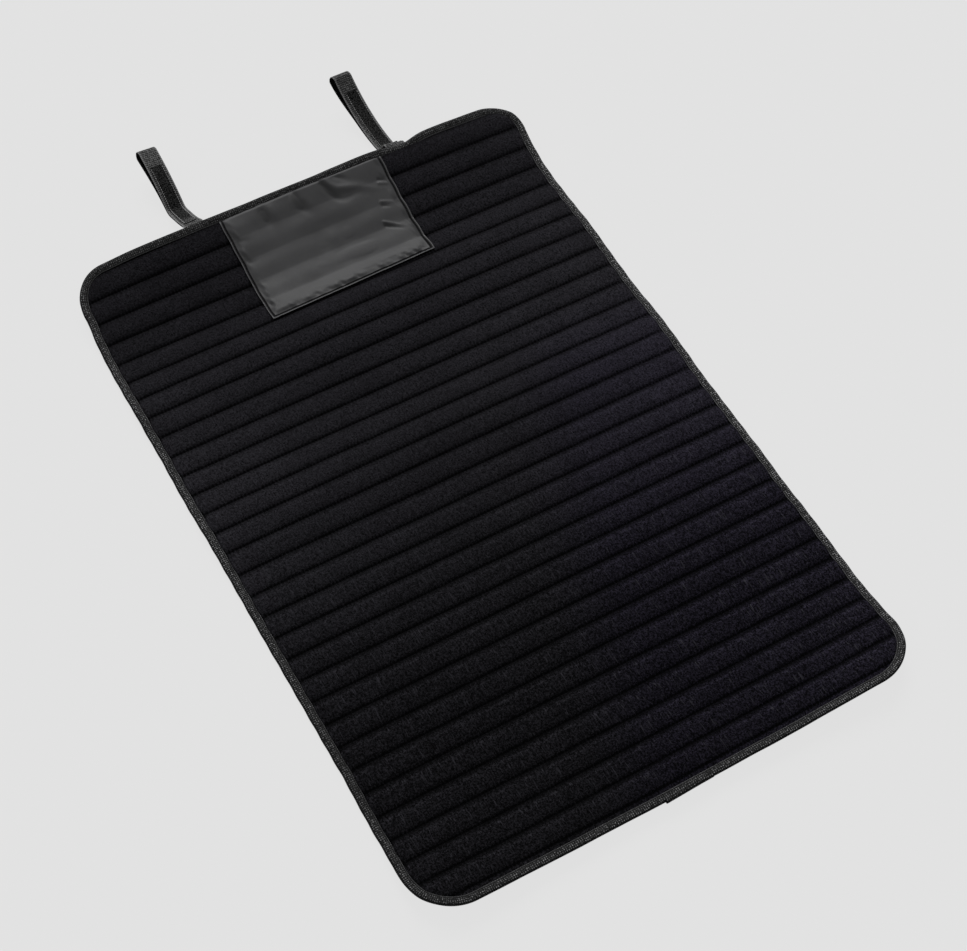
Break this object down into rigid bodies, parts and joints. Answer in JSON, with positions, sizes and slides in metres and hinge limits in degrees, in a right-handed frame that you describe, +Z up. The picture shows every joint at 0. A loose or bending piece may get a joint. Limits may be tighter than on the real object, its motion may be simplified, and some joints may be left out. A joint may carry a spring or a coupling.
{
  "type": "kayak roof pad",
  "caption": "Flat quilted pad with bound edges, a smooth front patch and two folded fixing straps; lies between a roof or rack and a boat to protect it.",
  "frame": {"origin": "on the floor, under the flat crown of the fourteenth quilted band from the near end, halfway across the pad", "axes": "+X across the pad, +Y along it towards the strap end, +Z up from the floor it lies on"},
  "size_m": [0.6, 1.0392, 0.0422],
  "materials": {
    "face_cloth": "matt black brushed polyester cloth, quilted",
    "foam": "soft closed-cell foam sheet",
    "backing": "black coated cloth with a fine non-slip grain",
    "binding": "ribbed black binding tape",
    "patch": "smooth dark grey coated nylon with a low sheen",
    "webbing": "dark grey woven webbing",
    "pile": "black looped pile of a hook-and-pile fastener",
    "hook": "black moulded hooks of a hook-and-pile fastener"
  },
  "bodies": {
    "root": {"face_cloth": "face_cloth", "foam_padding": "foam", "backing_sheet": "backing", "edge_binding": "binding", "front_patch": "patch", "strap_left": "webbing", "strap_right": "webbing", "pile_tape_left": "pile", "pile_tape_right": "pile", "hook_tape_left": "hook", "hook_tape_right": "hook"}
  },
  "joints": []
}
